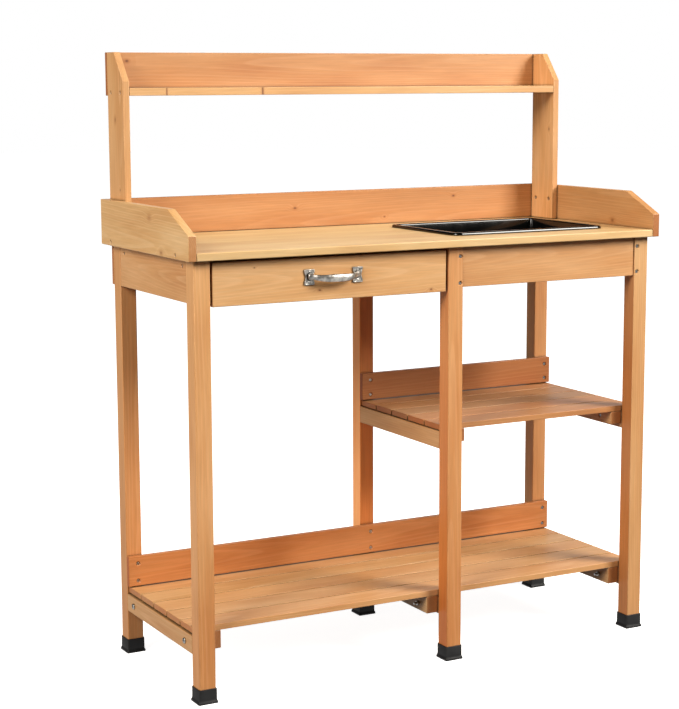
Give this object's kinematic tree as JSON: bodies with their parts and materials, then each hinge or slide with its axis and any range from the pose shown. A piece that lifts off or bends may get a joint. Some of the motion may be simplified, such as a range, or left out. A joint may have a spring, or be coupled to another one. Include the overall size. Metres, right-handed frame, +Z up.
{
  "type": "potting bench",
  "caption": "Wooden potting bench with a drawer, a lift-out sink set in its top, slatted shelves in two bays below, and a raised back rack with a shelf.",
  "frame": {"origin": "middle of the bench's footprint box, on the floor", "axes": "+X to the right and +Z up for a person standing in front of the bench, +Y to its back; the drawer slides out along -Y"},
  "size_m": [1.2, 0.4982, 1.377],
  "materials": {
    "stained_fir": "honey-stained solid fir, satin",
    "plywood": "thin unfinished plywood",
    "cast_zinc": "antiqued silver casting",
    "zinc_plated_steel": "bright zinc plating",
    "cap_plastic": "black moulded plastic",
    "sink_plastic": "black glossy moulded plastic"
  },
  "bodies": {
    "bench": {"leg_front_left": "stained_fir", "leg_front_middle": "stained_fir", "leg_front_right": "stained_fir", "leg_back_left": "stained_fir", "leg_back_middle": "stained_fir", "leg_back_right": "stained_fir", "tabletop": "stained_fir", "side_board_left": "stained_fir", "side_board_right": "stained_fir", "backsplash": "stained_fir", "rack_post_left": "stained_fir", "rack_post_right": "stained_fir", "rack_shelf": "stained_fir", "rack_back_board": "stained_fir", "apron_left": "stained_fir", "apron_middle": "stained_fir", "apron_right": "stained_fir", "apron_back": "stained_fir", "apron_front_right": "stained_fir", "lower_rail_left": "stained_fir", "lower_rail_middle": "stained_fir", "lower_rail_right": "stained_fir", "lower_bearer_left": "stained_fir", "lower_bearer_middle": "stained_fir", "lower_bearer_right": "stained_fir", "lower_slat_1": "stained_fir", "lower_slat_2": "stained_fir", "lower_slat_3": "stained_fir", "lower_slat_4": "stained_fir", "lower_slat_5": "stained_fir", "lower_back_board": "stained_fir", "mid_rail_middle": "stained_fir", "mid_rail_right": "stained_fir", "mid_bearer_middle": "stained_fir", "mid_bearer_right": "stained_fir", "mid_slat_1": "stained_fir", "mid_slat_2": "stained_fir", "mid_slat_3": "stained_fir", "mid_slat_4": "stained_fir", "mid_slat_5": "stained_fir", "mid_back_board": "stained_fir", "drawer_runner_left": "stained_fir", "drawer_runner_right": "stained_fir", "foot_cap_front_left": "cap_plastic", "foot_cap_front_middle": "cap_plastic", "foot_cap_front_right": "cap_plastic", "foot_cap_back_left": "cap_plastic", "foot_cap_back_middle": "cap_plastic", "foot_cap_back_right": "cap_plastic", "lower_bolt_front_left": "zinc_plated_steel", "lower_bolt_front_right": "zinc_plated_steel", "lower_bolt_back_left": "zinc_plated_steel", "lower_bolt_back_right": "zinc_plated_steel"},
    "drawer": {"drawer_front": "stained_fir", "drawer_side_left": "stained_fir", "drawer_side_right": "stained_fir", "drawer_back": "stained_fir", "drawer_bottom": "plywood", "drawer_handle": "cast_zinc"},
    "sink": {"sink_basin": "sink_plastic"}
  },
  "joints": [
    {"name": "drawer_slide", "type": "slide", "parent": "bench", "child": "drawer", "axis": [0, -1, 0], "range_m": [0, 0.28]},
    {"name": "sink_lift", "type": "slide", "parent": "bench", "child": "sink", "axis": [0, 0, 1], "range_m": [0, 0.15]}
  ]
}
